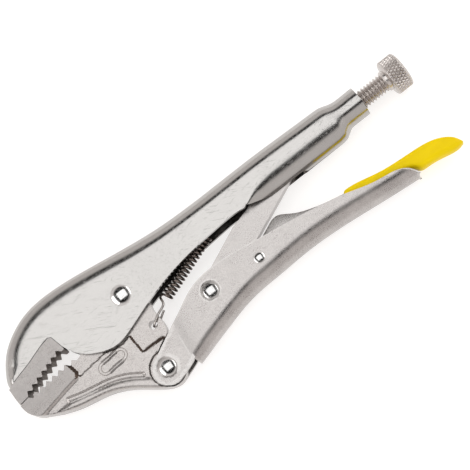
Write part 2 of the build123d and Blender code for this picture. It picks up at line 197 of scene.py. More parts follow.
def fill(outline, holes=(), spacing=0.0, extra=()):
    """Triangles that fill an outline, with a grid of points inside it where spacing is given."""
    loops = [np.asarray(outline, float)] + [np.asarray(hole, float) for hole in holes]
    edges, total = [], 0
    for loop in loops:
        count = len(loop)
        edges += [(total + k, total + (k + 1) % count) for k in range(count)]
        total += count
    points = [np.concatenate(loops)]
    inner = [np.asarray(e, float) for e in extra]
    if inner:
        inner = [np.concatenate(inner)]
    if spacing:
        low, high = points[0].min(axis=0), points[0].max(axis=0)
        xs = np.arange(low[0], high[0], spacing)
        ys = np.arange(low[1], high[1], spacing * 0.866)
        gx, gy = np.meshgrid(xs, ys)
        gx = gx + (np.arange(len(ys)) % 2)[:, None] * spacing / 2
        grid = np.stack([gx.ravel(), gy.ravel()], axis=1)
        if inner:
            cells = set(map(tuple, np.round(inner[0] / (spacing * 0.5)).astype(int)))
            keep = [tuple(c) not in cells for c in np.round(grid / (spacing * 0.5)).astype(int)]
            grid = grid[np.array(keep)]
        inner.append(grid)
    if inner:
        inner = np.concatenate(inner)
        room = np.full(len(inner), True)
        for index, loop in enumerate(loops):
            distance = signed_distance(inner, loop)
            room &= (distance < -0.12) if index == 0 else (distance > 0.12)
        points.append(inner[room])
    coords = [Vector(p) for p in np.concatenate(points)]
    verts, _, faces, *_ = delaunay_2d_cdt(coords, edges, [], 0, 1e-7)
    verts = np.array([tuple(v) for v in verts])
    centres = np.array([verts[list(f)].mean(axis=0) for f in faces])
    keep = is_inside(centres, loops[0])
    for hole in loops[1:]:
        keep &= ~is_inside(centres, hole)
    return verts, [f for f, k in zip(faces, keep) if k]


def slab(outline, top, bottom=None, holes=(), spacing=0.0, extra=()):
    """A closed solid over an outline. top is a height or a function of the points and bottom such a function;
    without bottom both sides are alike."""
    flat, faces = fill(outline, holes, spacing, extra)
    upper = top(flat) if callable(top) else np.full(len(flat), float(top))
    lower = bottom(flat) if bottom else -upper
    count = len(flat)
    verts = np.concatenate([np.column_stack([flat, upper]), np.column_stack([flat, lower])])
    seen = {}
    for face in faces:
        for a, b in zip(face, face[1:] + face[:1]):
            seen[(a, b)] = True
    rim = [(a, b) for a, b in seen if (b, a) not in seen]
    walls = [(b, a, a + count, b + count) for a, b in rim]
    under = [tuple(v + count for v in reversed(face)) for face in faces]
    return verts, [tuple(f) for f in faces] + under + walls


def grid_faces(rows, columns):
    """Quads between rows of points, each row closed round."""
    faces = []
    for r in range(rows - 1):
        for c in range(columns):
            c2 = (c + 1) % columns
            faces.append((r * columns + c, r * columns + c2, (r + 1) * columns + c2, (r + 1) * columns + c))
    return faces


def tube(rows):
    """Closed solid over rows of points that each go once round it."""
    count = len(rows[0])
    last = (len(rows) - 1) * count
    faces = grid_faces(len(rows), count)
    faces += [tuple(range(count)), tuple(range(last, last + count))]
    return np.concatenate(rows), faces


def joined(*shapes):
    """Several (verts, faces) as one."""
    verts, faces, start = [], [], 0
    for v, f in shapes:
        verts.append(np.asarray(v, float))
        faces += [tuple(i + start for i in face) for face in f]
        start += len(v)
    return np.concatenate(verts), faces


def lathe(profile, count=64, axis="x", centre=(0, 0, 0), shape=None):
    """Turns a profile of (along, radius) points about an axis. shape(along, angle, radius) may vary the
    radius."""
    profile = np.array(profile, float)
    angles = np.linspace(0, 2 * math.pi, count, endpoint=False)
    along, angle = np.meshgrid(profile[:, 0], angles, indexing="ij")
    radius = np.repeat(profile[:, 1:2], count, axis=1)
    if shape:
        radius = shape(along, angle, radius)
    side, up = radius * np.cos(angle), radius * np.sin(angle)
    parts = (along, side, up) if axis == "x" else (side, up, along)
    return tube(np.stack(parts, axis=2) + np.array(centre))


def piece(name, shape, body, node, material, bevel=0.0, segments=2, limit=38, others=()):
    """Makes a mesh piece that rides on a body and stands for a CAD node. others is (finish, test) pairs: the
    faces where test(centre, normal) is true take that finish."""
    verts, faces = shape
    mesh = bpy.data.meshes.new(name)
    mesh.from_pydata([ORIGIN + Vector(v) * MM for v in verts], [], faces)
    work = bmesh.new()
    work.from_mesh(mesh)
    bmesh.ops.remove_doubles(work, verts=work.verts, dist=2e-6)
    bmesh.ops.dissolve_degenerate(work, edges=work.edges, dist=1e-6)
    bmesh.ops.recalc_face_normals(work, faces=work.faces)
    work.to_mesh(mesh)
    work.free()
    mesh.shade_smooth()
    mesh.set_sharp_from_angle(angle=math.radians(limit))
    obj = bpy.data.objects.new(name, mesh)
    bpy.context.scene.collection.objects.link(obj)
    mesh.materials.append(material)
    for index, (finish, test) in enumerate(others, 1):
        mesh.materials.append(finish)
        for face in mesh.polygons:
            if test((face.center - ORIGIN) / MM, face.normal):
                face.material_index = index
    if bevel:
        rounded = obj.modifiers.new("Edges", "BEVEL")
        rounded.width = bevel * MM
        rounded.segments = segments
        rounded.limit_method = "ANGLE"
        rounded.angle_limit = math.radians(limit)
        rounded.harden_normals = True
    if body:
        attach(obj, body)
    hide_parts(node)
    return obj


# ---- Materials ----
class Nodes:
    """Short calls for the node trees below."""

    def __init__(self, name):
        """A new material with its shader linked to its output."""
        self.material = bpy.data.materials.new(name)
        self.material.use_nodes = True
        self.tree = self.material.node_tree
        self.tree.nodes.clear()
        self.output = self.add("ShaderNodeOutputMaterial")
        self.shader = self.add("ShaderNodeBsdfPrincipled")
        self.link(self.shader.outputs["BSDF"], self.output.inputs["Surface"])
        self.spot = self.add("ShaderNodeTexCoord").outputs["Object"]

    def add(self, kind, **settings):
        """A new node with the settings given."""
        node = self.tree.nodes.new(kind)
        for key, value in settings.items():
            setattr(node, key, value)
        return node

    def link(self, source, target):
        """Joins an output to an input."""
        self.tree.links.new(source, target)

    def stretched(self, scale, turn=0.0):
        """Coordinates in millimetres, times scale along each axis, turned about Z."""
        node = self.add("ShaderNodeMapping")
        node.vector_type = "POINT"
        turned = self.add("ShaderNodeMapping")
        turned.inputs["Rotation"].default_value = (0, 0, math.radians(turn))
        self.link(self.spot, turned.inputs["Vector"])
        self.link(turned.outputs["Vector"], node.inputs["Vector"])
        node.inputs["Scale"].default_value = [s / MM for s in scale]
        return node.outputs["Vector"]

    def noise(self, scale, detail=3.0, rough=0.55, turn=0.0):
        """Noise whose features are about 1/scale millimetres along each axis."""
        scale = scale if isinstance(scale, tuple) else (scale,) * 3
        node = self.add("ShaderNodeTexNoise")
        node.inputs["Scale"].default_value = 1.0
        node.inputs["Detail"].default_value = detail
        node.inputs["Roughness"].default_value = rough
        self.link(self.stretched(scale, turn), node.inputs["Vector"])
        return node.outputs["Fac"]

    def ranged(self, source, low, high, new_low=0.0, new_high=1.0):
        """Source's span low to high, mapped to new_low to new_high."""
        node = self.add("ShaderNodeMapRange")
        for key, value in zip(("From Min", "From Max", "To Min", "To Max"), (low, high, new_low, new_high)):
            node.inputs[key].default_value = value
        self.link(source, node.inputs["Value"])
        return node.outputs["Result"]

    def maths(self, operation, a, b):
        """The result of a maths node on two outputs or numbers."""
        node = self.add("ShaderNodeMath", operation=operation)
        for socket, value in zip(node.inputs, (a, b)):
            if isinstance(value, (int, float)):
                socket.default_value = value
            else:
                self.link(value, socket)
        return node.outputs[0]

    def mixed(self, factor, a, b):
        """Colour a where factor is 0 and b where it is 1."""
        node = self.add("ShaderNodeMix", data_type="RGBA")
        self.link(factor, node.inputs["Factor"])
        for key, value in (("A", a), ("B", b)):
            socket = [s for s in node.inputs if s.name == key and s.type == "RGBA"][0]
            if isinstance(value, tuple):
                socket.default_value = (*value, 1)
            else:
                self.link(value, socket)
        return [s for s in node.outputs if s.type == "RGBA"][0]

    def bump(self, height, depth, under=None):
        """Bump of depth millimetres over another bump."""
        node = self.add("ShaderNodeBump")
        node.inputs["Distance"].default_value = depth * MM
        self.link(height, node.inputs["Height"])
        if under:
            self.link(under, node.inputs["Normal"])
        return node.outputs["Normal"]


def steel(name, dark, light, rough, grain, grain_depth, lines=0.0, line_turn=0.0, wear=0.0):
    """Bare or plated steel: cloudy tone, a grain, lengthwise grinding lines, and fine stray scratches."""
    n = Nodes(name)
    cloud = n.ranged(n.noise(0.12, 4, 0.6), 0.3, 0.7)
    fine = n.noise(grain, 2, 0.6)
    speck = n.ranged(fine, 0.35, 0.65)
    tone = n.maths("ADD", n.maths("MULTIPLY", cloud, 0.45), n.maths("MULTIPLY", speck, 0.55))
    colour = n.mixed(tone, dark, light)
    scratch_a = n.ranged(n.noise((0.10, 9.0, 9.0), 2, 0.5, 28), 0.66, 0.72)
    scratch_b = n.ranged(n.noise((0.12, 8.0, 8.0), 2, 0.5, -17), 0.67, 0.73)
    scratches = n.maths("MAXIMUM", scratch_a, scratch_b)
    colour = n.mixed(n.maths("MULTIPLY", scratches, 0.35), colour, light)
    if wear:
        edges = n.ranged(n.add("ShaderNodeNewGeometry").outputs["Pointiness"], 0.52, 0.60)
        colour = n.mixed(n.maths("MULTIPLY", edges, wear), colour, (0.80, 0.79, 0.77))
    n.link(colour, n.shader.inputs["Base Color"])
    n.shader.inputs["Metallic"].default_value = 1.0
    roughness = n.ranged(cloud, 0, 1, rough - 0.05, rough + 0.05)
    roughness = n.maths("ADD", roughness, n.maths("MULTIPLY", speck, 0.06))
    n.link(roughness, n.shader.inputs["Roughness"])
    normal = n.bump(fine, grain_depth)
    if lines:
        stripes = n.noise((0.06, 5.0, 5.0), 3, 0.6, line_turn)
        normal = n.bump(stripes, lines, under=normal)
    normal = n.bump(scratches, -0.012, under=normal)
    n.link(normal, n.shader.inputs["Normal"])
    return n.material


def plastic(name, base, deep):
    """Glossy dipped plastic with faint flow marks."""
    n = Nodes(name)
    cloud = n.ranged(n.noise((0.08, 0.3, 0.3), 3, 0.5), 0.3, 0.7)
    n.link(n.mixed(cloud, base, deep), n.shader.inputs["Base Color"])
    n.link(n.ranged(n.noise(0.8, 3), 0.3, 0.7, 0.38, 0.50), n.shader.inputs["Roughness"])
    n.shader.inputs["Specular IOR Level"].default_value = 0.10
    n.shader.inputs["Subsurface Weight"].default_value = 0.08
    n.shader.inputs["Subsurface Radius"].default_value = (0.002, 0.0015, 0.0003)
    n.shader.inputs["Subsurface Scale"].default_value = 0.5
    n.shader.inputs["Coat Weight"].default_value = 0.04
    n.shader.inputs["Coat Roughness"].default_value = 0.12
    ripple = n.bump(n.noise((0.15, 0.8, 0.8), 2), 0.05)
    n.link(n.bump(n.noise(6.0, 2), 0.004, under=ripple), n.shader.inputs["Normal"])
    return n.material


upper_finish = steel("satin_nickel", (0.405, 0.392, 0.380), (0.475, 0.463, 0.448), 0.16, 3.5, 0.003,
                     lines=0.005)
lower_finish = steel("blasted_nickel", (0.33, 0.311, 0.302), (0.54, 0.513, 0.497), 0.27, 2.2, 0.015, wear=0.2)
jaw_finish = steel("ground_steel", (0.27, 0.25, 0.240), (0.44, 0.415, 0.402), 0.28, 3.0, 0.006, lines=0.05,
                   line_turn=-8, wear=0.2)
forged_finish = steel("forged_nickel", (0.32, 0.297, 0.287), (0.53, 0.502, 0.483), 0.26, 1.6, 0.018, wear=0.2)
# Dark steel for the teeth's flanks and the lower jaw's steps: painted shade, not a real oxide
painted_shade_finish = steel("painted_shade_steel", (0.055, 0.040, 0.032), (0.15, 0.115, 0.095), 0.45, 2.0, 0.02)
rivet_finish = steel("polished_steel", (0.56, 0.55, 0.54), (0.66, 0.65, 0.64), 0.09, 4.0, 0.001)
screw_finish = steel("screw_steel", (0.42, 0.385, 0.36), (0.60, 0.56, 0.54), 0.20, 3.0, 0.006, wear=0.3)
# The coil's wire is painted dark as shade inside the channel; the hook below has the wire's own colour
shaded_spring_finish = steel("shaded_spring_wire", (0.07, 0.058, 0.05), (0.24, 0.20, 0.18), 0.20, 2.0, 0.006)
hook_finish = steel("spring_hook", (0.38, 0.355, 0.335), (0.54, 0.51, 0.49), 0.22, 2.0, 0.006)
sleeve_finish = plastic("yellow_plastic", (0.86, 0.64, 0.001), (0.82, 0.60, 0.001))


# ---- Folded sheet: a spine with a round bend on each side, and two walls ----
CROWN_FLAT = 0.4
BEND_STEPS = 14
CURL_STEPS = 12


def section(outer, inner):
    """A sheet's cross-section from the half outlines of its outside and inside, each from the crown down."""
    outer, inner = np.array(outer), np.array(inner)
    flip = np.array([1, 1, -1])
    outside = np.concatenate([outer[::-1], outer[1:] * flip])
    inside = np.concatenate([inner[::-1] * flip, inner[1:]])
    return np.concatenate([outside, inside])


def curled(spot, wall_z, drop, width, gap):
    """A wall's end, curled in along a quarter ellipse until it is gap from the middle plane."""
    turn = math.acos(min(1.0, max(0.0, 1 - (wall_z - gap) / width)))
    angles = [turn * step / CURL_STEPS for step in range(1, CURL_STEPS + 1)]
    points = [(spot[0], spot[1] - drop * math.sin(a), wall_z - width * (1 - math.cos(a))) for a in angles]
    return points + [(spot[0], points[-1][1], min(points[-1][2], gap))]


def fold_rings(crown, inward, half, bend, sheet, ends, roll=None, wall_steps=16):
    """Cross-sections of a folded sheet whose bends are as deep as bend, with each wall's end at ends."""
    rings = []
    for k, spine in enumerate(crown):
        halves = []
        for depth in (0.0, sheet[k]):
            width, drop = half[k] - CROWN_FLAT - depth, bend[k] - depth
            foot = spine + inward[k] * depth
            points = [(*foot, 0.0)]
            for step in range(BEND_STEPS + 1):
                angle = math.pi / 2 * step / BEND_STEPS
                spot = foot + inward[k] * drop * (1 - math.cos(angle))
                points.append((*spot, CROWN_FLAT + width * math.sin(angle)))
            wall_top, wall_z = points[-1][:2], points[-1][2]
            for step in range(1, wall_steps + 1):
                share = step / wall_steps
                spot = np.array(wall_top) * (1 - share) + ends[k] * share
                points.append((*spot, wall_z))
            if roll is not None:
                roll_drop, roll_width, gap = roll[k]
                points += curled(ends[k], wall_z, roll_drop - depth, roll_width - depth, gap)
            halves.append(points)
        rings.append(section(*halves))
    return np.array(rings)


def ring_solid(rings):
    """Closed solid over cross-sections whose second half is their inside, in reverse."""
    rows, count = rings.shape[0], rings.shape[1]
    faces = grid_faces(rows, count)
    half = count // 2
    for row in (0, rows - 1):
        base = row * count
        for c in range(half - 1):
            faces.append((base + c, base + c + 1, base + count - 2 - c, base + count - 1 - c))
    return rings.reshape(-1, 3), faces


# ---- Upper handle ----
CROWN = curve([(NOSE_X, -2.6), (-64.3, 0.6), (-62.6, 4.6), (-57.0, 12.2), (-49.0, 17.9), (-40.0, 21.4),
               (-26.7, 22.55), (-10.0, 20.9), (10.0, 17.6), (30.0, 14.8), (45.0, 13.9), (81.0, 13.6),
               (98.0, 13.1), (115.0, 12.5), (120.0, 12.0), (123.5, 10.8), (127.0, 10.2), (131.0, 10.2),
               (136.0, 10.2)], 0.6)
SEAM = straight([(-59.9, -0.55), (-51.0, 1.7), (-41.7, 4.7), (-37.4, 5.6), (-35.8, 4.6), (-34.3, -1.7),
                 (-33.0, -4.7)], 0.3)
WALL_EDGE = curve([(-33.0, -4.7), (-29.5, -9.6), (-24.0, -13.6), (-15.0, -16.5), (-5.0, -14.5), (10.0, -9.6),
                   (30.0, -5.5), (50.0, -3.8), (66.0, -4.1), (73.0, -5.7), (81.0, -6.9)], 0.3)
EDGE = np.concatenate([SEAM, WALL_EDGE[1:]])
# Places along the crown and the wall's edge that belong to the same cross-section
PAIRS = [((NOSE_X, -2.6), (-59.9, -0.55)), ((-57.0, 12.2), (-51.0, 1.7)), ((-45.0, 19.8), (-41.7, 4.7)),
         ((-39.5, 21.5), (-37.4, 5.6)), ((-37.0, 21.9), (-35.8, 4.6)), ((-34.0, 22.2), (-34.3, -1.7)),
         ((-31.5, 22.4), (-33.0, -4.7)), ((-24.0, 22.5), (-24.0, -13.6)), ((-5.0, 20.2), (-5.0, -14.5)),
         ((10.0, 17.6), (10.0, -9.6)), ((30.0, 14.8), (30.0, -5.5)), ((66.0, 13.7), (66.0, -4.1)),
         ((81.0, 13.6), (81.0, -6.9))]


def nearest(path, spot):
    """Distance along the path to its sample nearest a spot."""
    return lengths(path)[np.argmin(np.linalg.norm(path - np.array(spot), axis=1))]


def upper_shell():
    """Folded sheet from the nose to the tube, whose edges curl in round the screw."""
    along = lengths(CROWN)
    edge_along = lengths(EDGE)
    share = np.interp(along, [nearest(CROWN, a) for a, _ in PAIRS], [nearest(EDGE, b) for _, b in PAIRS])
    ends = np.stack([np.interp(share, edge_along, EDGE[:, k]) for k in (0, 1)], axis=1)
    tangent = tangents(CROWN)
    inward = np.stack([tangent[:, 1], -tangent[:, 0]], axis=1)
    first = ends[0] - CROWN[0]
    weight = np.clip(1 - along / 12.0, 0, 1)[:, None] ** 2
    inward = inward * (1 - weight) + first / np.linalg.norm(first) * weight
    rear = smoothstep((CROWN[:, 0] - 20) / 30)[:, None]
    inward = inward * (1 - rear) + np.array([0.0, -1.0]) * rear
    inward /= np.linalg.norm(inward, axis=1)[:, None]
    x = CROWN[:, 0]
    half = np.interp(x, [-65, -10, 0, 10, 20, 30, 37, 45, 117, 120.5, 124, 127, 136],
                     [5.25, 5.25, 5.33, 5.65, 6.5, 7.25, 7.6, 7.75, 7.75, 7.6, 7.25, 7.1, 7.1])
    half = np.convolve(np.pad(half, 4, mode="edge"), np.ones(9) / 9, mode="valid")
    bend = np.interp(x, [-65, 10, 45, 117, 127], [8.3, 8.1, 7.35, 7.35, 6.7])
    bend = np.minimum(bend, np.linalg.norm(ends - CROWN, axis=1) * 0.9)
    sheet = np.interp(x, [-65, 115, 127], [SHEET, SHEET, 2.65])
    # The walls' ends curl in behind the link and meet in a seam under the tube
    roll_drop = np.interp(x, [66, 70, 76, 84, 117, 127], [2.9, 5.0, 9.0, 11.4, 11.4, 7.1])
    roll_width = np.interp(x, [117, 127], [7.5, 7.05])
    gap = np.interp(x, [66, 68, 72, 76, 80, 84, 97, 99, 103, 118],
                    [8.0, 7.75, 6.0, 4.2, 3.2, 2.8, 2.8, 0.6, 0.3, 0.05])
    low = np.interp(x, [118.5, 121.5, 125.5, 127.0], [-7.2, -6.7, -4.2, -4.0])
    rolled = smoothstep((x - 64) / 4)
    ends[:, 1] = ends[:, 1] * (1 - rolled) + (low + roll_drop) * rolled
    ends[:, 0] = np.where(x > 30, x, ends[:, 0])
    rings = fold_rings(CROWN, inward, half, bend, sheet, ends, list(zip(roll_drop, roll_width, gap)))
    return ring_solid(rings)


EAR_HOLE = (53.0, 1.5)
EAR_TOP_Y = 12.0


def spring_ear():
    """Small tab inside the channel for the spring's rear hook."""
    low_x, high_x = EAR_HOLE[0] - 2.5, EAR_HOLE[0] + 2.5
    outline = [(low_x, EAR_TOP_Y), (low_x, 1.0), (52.0, -0.7), (54.0, -0.7), (high_x, 1.0),
               (high_x, EAR_TOP_Y)]
    return slab(straight(outline, 1.0), 0.8, holes=[ring(EAR_HOLE, 1.2, 24)])


piece("upper_handle_shell", joined(upper_shell(), spring_ear()), "upper_handle", "upper_handle",
      upper_finish, bevel=0.3)


# ---- Jaws ----
TOOTH_PITCH = 3.55
TOOTH_DEPTH = 1.6


def teeth(start, turn, count, depth):
    """Tips and roots of a row of teeth that starts at a tip and runs at turn degrees, each a narrow flat."""
    along = np.array([math.cos(math.radians(turn)), math.sin(math.radians(turn))])
    into = np.array([-along[1], along[0]]) * depth
    points = []
    for index in range(count):
        tip = np.array(start) + along * TOOTH_PITCH * index
        root = tip + along * TOOTH_PITCH / 2 + into
        for spot in (tip, root):
            points += [tuple(spot - along * 0.18), tuple(spot + along * 0.18)]
    return points


UPPER_ROW = ((-59.5, -10.15), 17.5)
LOWER_ROW = ((-59.7, -10.45), 4.0)
UPPER_TEETH = teeth(*UPPER_ROW, 7, TOOTH_DEPTH)
LOWER_TEETH = teeth(*LOWER_ROW, 8, -TOOTH_DEPTH)
TEETH_END_X = -33.0
BLOCK_HALF = 5.25


def upper_block():
    """The fixed jaw: a ground block between the handle's walls, toothed along its lower edge."""
    outline = [(NOSE_X + 0.1, -2.35), (-60.0, -0.7), (-51.0, 1.55), (-41.7, 4.55), (-37.4, 5.4),
               (-35.95, 4.5), (-34.45, -1.7), (-34.3, -3.2), (-35.9, -3.4), *reversed(UPPER_TEETH),
               (NOSE_X + 0.2, -10.8), (NOSE_X, -8.0)]
    return slab(straight(outline + outline[:1], 1.2)[:-1], BLOCK_HALF)


def on_teeth(start, turn):
    """A test for the flanks of the teeth that start there."""
    a = math.radians(turn)

    def test(centre, normal):
        """Whether a face stands upright along the row."""
        along = (centre.x - start[0]) * math.cos(a) + (centre.y - start[1]) * math.sin(a)
        off = (centre.y - start[1]) * math.cos(a) - (centre.x - start[0]) * math.sin(a)
        in_row = along > -1.2 and abs(off) < TOOTH_DEPTH + 0.6 and centre.x < TEETH_END_X
        return abs(normal.z) < 0.5 and in_row

    return test


# The upper teeth's flanks take dark steel as painted shade
piece("fixed_jaw_block", upper_block(), "upper_handle", "fixed_jaw", jaw_finish, bevel=0.22,
      others=[(painted_shade_finish, on_teeth(*UPPER_ROW))])

BORDER = curve([(-53.0, -24.3), (-44.0, -27.7), (-35.0, -29.7), (-28.0, -31.8), (-20.0, -36.3), (-9.4, -44.4),
                (-6.9, -45.95)], 0.5)
CHIN = curve([(NOSE_X, -11.3), (-63.9, -15.5), (-62.3, -18.3), (-59.4, -20.7), (-53.0, -24.3)], 0.5)
PLATE_HALF = 4.4
TONGUE_HALF = 2.95
HEEL_HALF = 2.55
FLANGE_HALF = 5.0
HEEL_CENTRE = (-3.05, -39.4)
HEEL_R = 7.6


def lower_outline():
    """Silhouette of the lower jaw, anticlockwise from the nose."""
    back = curve([(11.0, 4.0), (10.5, -4.0), (7.2, -12.0), (7.3, -18.0), (6.8, -24.0), (4.8, -27.5)], 0.5)
    tongue = curve([(-30.5, -9.4), (-25.0, -3.0), (-16.0, 3.0), (-9.5, 7.0)], 0.5)
    top = straight([(NOSE_X, -11.3), (NOSE_X + 0.4, -11.1), *LOWER_TEETH, (-30.5, -9.4)], 0.5)
    heel = arc(HEEL_CENTRE, HEEL_R, 51.0, -119.7, 0.5)
    dome = arc((0.0, 0.6), 11.1, 145.0, 17.6, 0.5)
    loop = np.concatenate([CHIN[::-1][:-1], top[:-1], tongue[:-1], dome, back[1:], straight([(4.8, -27.5),
                           (1.73, -33.49)], 0.5)[1:-1], heel, BORDER[::-1][1:-1]])
    return loop


PLATE = np.concatenate([
    CHIN, BORDER[1:], straight([(-6.9, -45.95), (2.0, -33.0), (3.6, -27.3), (3.0, -26.3), (-7.6, -25.9),
                                (-8.1, -16.6), (-12.5, -17.5), (-17.0, -17.1), (-21.0, -15.7), (-36.0, -17.1),
                                (-37.0, -14.0), (NOSE_X, -11.3)], 0.8)[1:-1]])
BLOCK = straight([(NOSE_X - 2, -5.0), (-39.2, -5.0), (-38.1, -9.3), (-37.0, -14.6), (-38.0, -16.5),
                  (-44.3, -17.5), (-58.4, -20.2), (-66.5, -19.0), (NOSE_X - 2, -5.0)], 0.8)[:-1]
FLANGE = np.concatenate([BORDER, curve([(-12.0, -37.4), (-21.7, -31.1), (-31.7, -27.6), (-46.0, -24.0)],
                                       0.6)])
BADGE_CENTRE = (-20.5, -21.2)
BADGE_TURN = 4.0
BADGE_RISE = 0.35
BADGE_SLOPE = 0.3
RIB_RISE = 0.55
SPRING_HOLE = (3.1, -19.1)


def racetrack(width, height):
    """A slot-shaped loop about the badge's centre."""
    r, reach_x = height / 2, (width - height) / 2
    loop = np.concatenate([arc((reach_x, 0), r, -90, 90, 0.35), arc((-reach_x, 0), r, 90, 270, 0.35)])
    a = math.radians(BADGE_TURN)
    rotated = loop @ np.array([[math.cos(a), math.sin(a)], [-math.sin(a), math.cos(a)]])
    return rotated + np.array(BADGE_CENTRE)


def band(points, width):
    """A closed band of a given width along a line of points."""
    points = curve(points, 0.6)
    tangent = tangents(points)
    normal = np.stack([-tangent[:, 1], tangent[:, 0]], axis=1) * width / 2
    return np.concatenate([points + normal, (points - normal)[::-1]])


RIB = band([(-46.4, -22.3), (-38.7, -24.6), (-28.4, -26.8), (-20.4, -29.8), (-13.0, -34.6)], 2.0)
HEEL_POCKET = ring(HANDLE_PIVOT, 8.35, 60)
BADGE_OUT = racetrack(15.0, 6.2)
BADGE_IN = racetrack(12.6, 3.8)
CHEEK_WAY = straight([(-7.0, -32.9), (6.4, -25.8), (20.0, -30.0), (-2.9, -50.0), (-7.0, -32.9)], 0.8)[:-1]


def jaw_height(points):
    """Height of the lower jaw's side over its middle plane: levels laid over each other."""
    height = np.full(len(points), TONGUE_HALF)
    # The step down to the spring's tab is a slope, wider along its lower side
    slope = np.interp(points[:, 0], [-36.0, -30.0, -7.6, -5.5, 3.0], [0.5, 0.7, 0.8, 1.7, 1.7])
    levels = [(PLATE, PLATE_HALF, slope, 0.0), (FLANGE, FLANGE_HALF, 2.6, 0.0),
              (RIB, PLATE_HALF + RIB_RISE, 0.7, 0.0), (BLOCK, BLOCK_HALF, 1.5, 0.75),
              (HEEL_POCKET, HEEL_HALF, 0.25, 0.0), (CHEEK_WAY, HEEL_HALF, 0.25, 0.0)]
    for loop, level, soft, out in levels:
        height += (level - height) * smoothstep(0.5 - (signed_distance(points, loop) - out) / soft)
    ring_share = smoothstep(0.5 - signed_distance(points, BADGE_OUT) / BADGE_SLOPE)
    ring_share *= smoothstep(0.5 + signed_distance(points, BADGE_IN) / BADGE_SLOPE)
    return height + BADGE_RISE * ring_share


def shifted(loop, by):
    """A closed loop moved outwards by a small distance."""
    tangent = np.roll(loop, -1, axis=0) - np.roll(loop, 1, axis=0)
    tangent /= np.linalg.norm(tangent, axis=1)[:, None] + 1e-9
    return loop + np.stack([tangent[:, 1], -tangent[:, 0]], axis=1) * by


def lower_plate():
    """The forging of the lower jaw, with points laid along both sides of its narrow steps."""
    steps = ((PLATE, 0.35), (BADGE_OUT, BADGE_SLOPE), (BADGE_IN, BADGE_SLOPE), (HEEL_POCKET, 0.25),
             (CHEEK_WAY, 0.25))
    extra = [shifted(loop, side * soft / 2) for loop, soft in steps for side in (1, -1)]
    return slab(lower_outline(), jaw_height, holes=[ring(SPRING_HOLE, 2.0, 30)], spacing=0.5, extra=extra)


on_lower_teeth = on_teeth(*LOWER_ROW)


def is_painted_shade(centre, normal):
    """The teeth's flanks, and the steps round the spring's tab and at the block's end, take dark steel as
    painted shade.
    """
    is_step = 0.1 < abs(normal.z) < 0.93
    by_tab = centre.x > -9.5 and -29.0 < centre.y < -14.0
    by_block = -38.6 < centre.x < -34.5 and -17.0 < centre.y < -8.5
    return on_lower_teeth(centre, normal) or (is_step and (by_tab or by_block))


def is_ground(centre, normal):
    """The flat faces of the block that carries the teeth are ground."""
    return abs(normal.z) > 0.93 and abs(centre.z) > BLOCK_HALF - 0.1


# The lower teeth's flanks and the steps by the tab and the block take dark steel as painted shade
piece("lower_jaw_forging", lower_plate(), "lower_jaw", "lower_jaw", forged_finish,
      bevel=0.25, limit=42, others=[(jaw_finish, is_ground), (painted_shade_finish, is_painted_shade)])


# ---- Lower handle ----
LOWER_CROWN = curve([(9.5, -45.6), (15.0, -44.1), (22.0, -42.1), (30.0, -40.0), (40.0, -37.6), (50.0, -36.3),
                     (60.0, -36.0), (75.0, -35.5), (100.0, -37.0), (120.0, -39.4), (135.0, -41.0)], 0.5)
LOWER_EDGE = curve([(6.0, -26.4), (15.0, -22.5), (25.0, -17.7), (37.0, -15.6), (50.0, -16.7), (73.0, -20.7),
                    (105.0, -27.4), (118.0, -31.2), (127.0, -33.0), (132.0, -35.6), (135.0, -40.2)], 0.3)
CHEEK_R = 7.15
DIMPLE_R = 4.4
DIMPLE_LIP = 0.55


def dished(points, centre, depth):
    """Moves wall points inwards inside a pressed dimple, and snaps the nearest ones onto its two circles."""
    flat = points[:, :2] - np.array(centre)
    distance = np.linalg.norm(flat, axis=1)
    wall = np.abs(points[:, 2]) > 2.5
    for circle in (DIMPLE_R, DIMPLE_R - DIMPLE_LIP):
        near = wall & (np.abs(distance - circle) < 0.26)
        flat[near] *= (circle / distance[near])[:, None]
        distance[near] = circle
    points[:, :2] = np.where(wall[:, None], flat + np.array(centre), points[:, :2])
    share = smoothstep((DIMPLE_R - distance) / DIMPLE_LIP)
    points[:, 2] -= np.where(wall, np.sign(points[:, 2]) * share * depth, 0)
    return points


def lower_half(x):
    """Half width of the lower handle, from its cheeks to its tail."""
    return natural([0, 9.5, 14, 20, 26, 40, 50, 60, 136], [5.4, 5.4, 5.85, 6.2, 6.3, 6.3, 6.7, 7.0, 7.0], x)


def lower_shell():
    """Folded sheet behind the cheeks, cut off along its edge, with a dimple round the toggle rivet."""
    x = LOWER_CROWN[:, 0]
    tangent = tangents(LOWER_CROWN)
    inward = np.stack([-tangent[:, 1], tangent[:, 0]], axis=1)
    half = lower_half(x)
    top = np.interp(x, LOWER_EDGE[:, 0], LOWER_EDGE[:, 1])
    ends = np.stack([x, top], axis=1)
    rings = fold_rings(LOWER_CROWN, inward, half, half + 0.4, np.full(len(x), SHEET), ends, wall_steps=44)
    # Towards the tail the edge drops below the bend: everything above it is pressed down onto the edge
    limit = np.repeat(top[:, None], rings.shape[1], axis=1)
    rings[:, :, 1] = np.minimum(rings[:, :, 1], limit)
    verts, faces = ring_solid(rings)
    return dished(verts, TOGGLE_PIVOT, 1.6), faces


